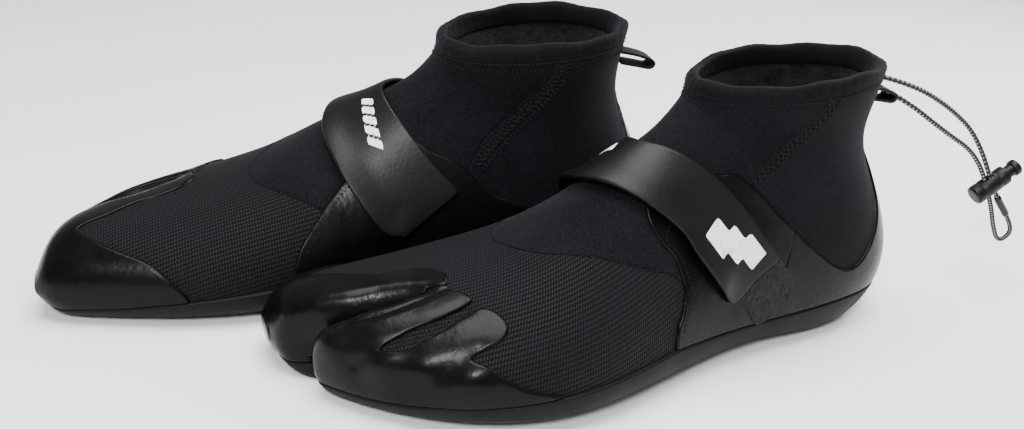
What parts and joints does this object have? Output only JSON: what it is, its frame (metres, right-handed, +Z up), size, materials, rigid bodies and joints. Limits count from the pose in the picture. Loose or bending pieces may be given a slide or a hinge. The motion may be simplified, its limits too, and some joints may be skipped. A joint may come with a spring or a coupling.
{
  "type": "split-toe neoprene boot pair",
  "caption": "Pair of low split-toe neoprene boots with rubber soles, toe caps, hook-and-loop instep straps and a drawcord collar.",
  "frame": {"origin": "centre of the pair's plan box on the floor under the soles", "axes": "+X heel to toe, +Y towards the left boot's outer side, +Z up"},
  "size_m": [0.4641, 0.2264, 0.1254],
  "materials": {
    "sole_rubber": "matte moulded",
    "gloss_rubber": "glossy dipped",
    "strap_rubber": "satin",
    "neoprene": "smooth jersey on neoprene",
    "neoprene_textured": "embossed grid on neoprene",
    "footbed_foam": "foam",
    "plush_lining": "short plush",
    "elastic_cord": "woven elastic with light flecks",
    "loop_pile": "loop pile",
    "white_print": "printed",
    "lock_plastic": "moulded",
    "spring_steel": "drawn wire",
    "shrink_sleeve": "shrink tube"
  },
  "bodies": {
    "left_boot": {"left_outsole": "sole_rubber", "left_sock_base": "neoprene", "left_footbed": "footbed_foam", "left_forefoot_panel": "neoprene_textured", "left_instep_panel": "neoprene", "left_outer_quarter": "neoprene", "left_inner_quarter": "neoprene", "left_lining": "plush_lining", "left_big_toe_cap": "gloss_rubber", "left_lesser_toe_cap": "gloss_rubber", "left_heel_counter": "gloss_rubber", "left_outer_wrap": "gloss_rubber", "left_inner_wrap": "gloss_rubber", "left_collar": "neoprene", "left_tunnel_cord": "elastic_cord", "left_loop_tape": "loop_pile", "left_strap_base": "strap_rubber", "left_inner_mark": "white_print", "left_pull_tab": "strap_rubber", "left_drawcord": "elastic_cord", "left_splice_sleeve": "shrink_sleeve"},
    "left_strap": {"left_strap_flap": "strap_rubber", "left_hook_tape": "loop_pile", "left_outer_mark": "white_print"},
    "cord_lock": {"left_lock_body": "lock_plastic", "left_lock_spring": "spring_steel"},
    "lock_plunger": {"left_lock_plunger": "lock_plastic"},
    "right_boot": {"right_outsole": "sole_rubber", "right_sock_base": "neoprene", "right_footbed": "footbed_foam", "right_forefoot_panel": "neoprene_textured", "right_instep_panel": "neoprene", "right_outer_quarter": "neoprene", "right_inner_quarter": "neoprene", "right_lining": "plush_lining", "right_big_toe_cap": "gloss_rubber", "right_lesser_toe_cap": "gloss_rubber", "right_heel_counter": "gloss_rubber", "right_outer_wrap": "gloss_rubber", "right_inner_wrap": "gloss_rubber", "right_collar": "neoprene", "right_tunnel_cord": "elastic_cord", "right_loop_tape": "loop_pile", "right_strap_base": "strap_rubber", "right_inner_mark": "white_print", "right_pull_tab": "strap_rubber"},
    "right_strap": {"right_strap_flap": "strap_rubber", "right_hook_tape": "loop_pile", "right_outer_mark": "white_print"}
  },
  "joints": [
    {"name": "right_boot_lift", "type": "slide", "parent": "left_boot", "child": "right_boot", "axis": [0, 0, 1], "range_m": [0, 0.25]},
    {"name": "left_strap_peel", "type": "hinge", "parent": "left_boot", "child": "left_strap", "pos_m": [-0.03627, 0.04792, 0.0864], "axis": [0.8499, 0, -0.5269], "range_deg": [0, 140]},
    {"name": "right_strap_peel", "type": "hinge", "parent": "right_boot", "child": "right_strap", "pos_m": [0.04911, -0.04182, 0.0864], "axis": [-0.8399, 0.13, 0.5269], "range_deg": [0, 140]},
    {"name": "cord_lock_slide", "type": "slide", "parent": "left_boot", "child": "cord_lock", "axis": [0.5269, 0, 0.8499], "range_m": [0, 0.01]},
    {"name": "lock_plunger_press", "type": "slide", "parent": "cord_lock", "child": "lock_plunger", "axis": [0.8499, 0, -0.5269], "range_m": [0, 0.0025], "stiffness_N_per_m": 400, "springref_m": -0.002, "deforming": ["left_lock_spring"]}
  ]
}
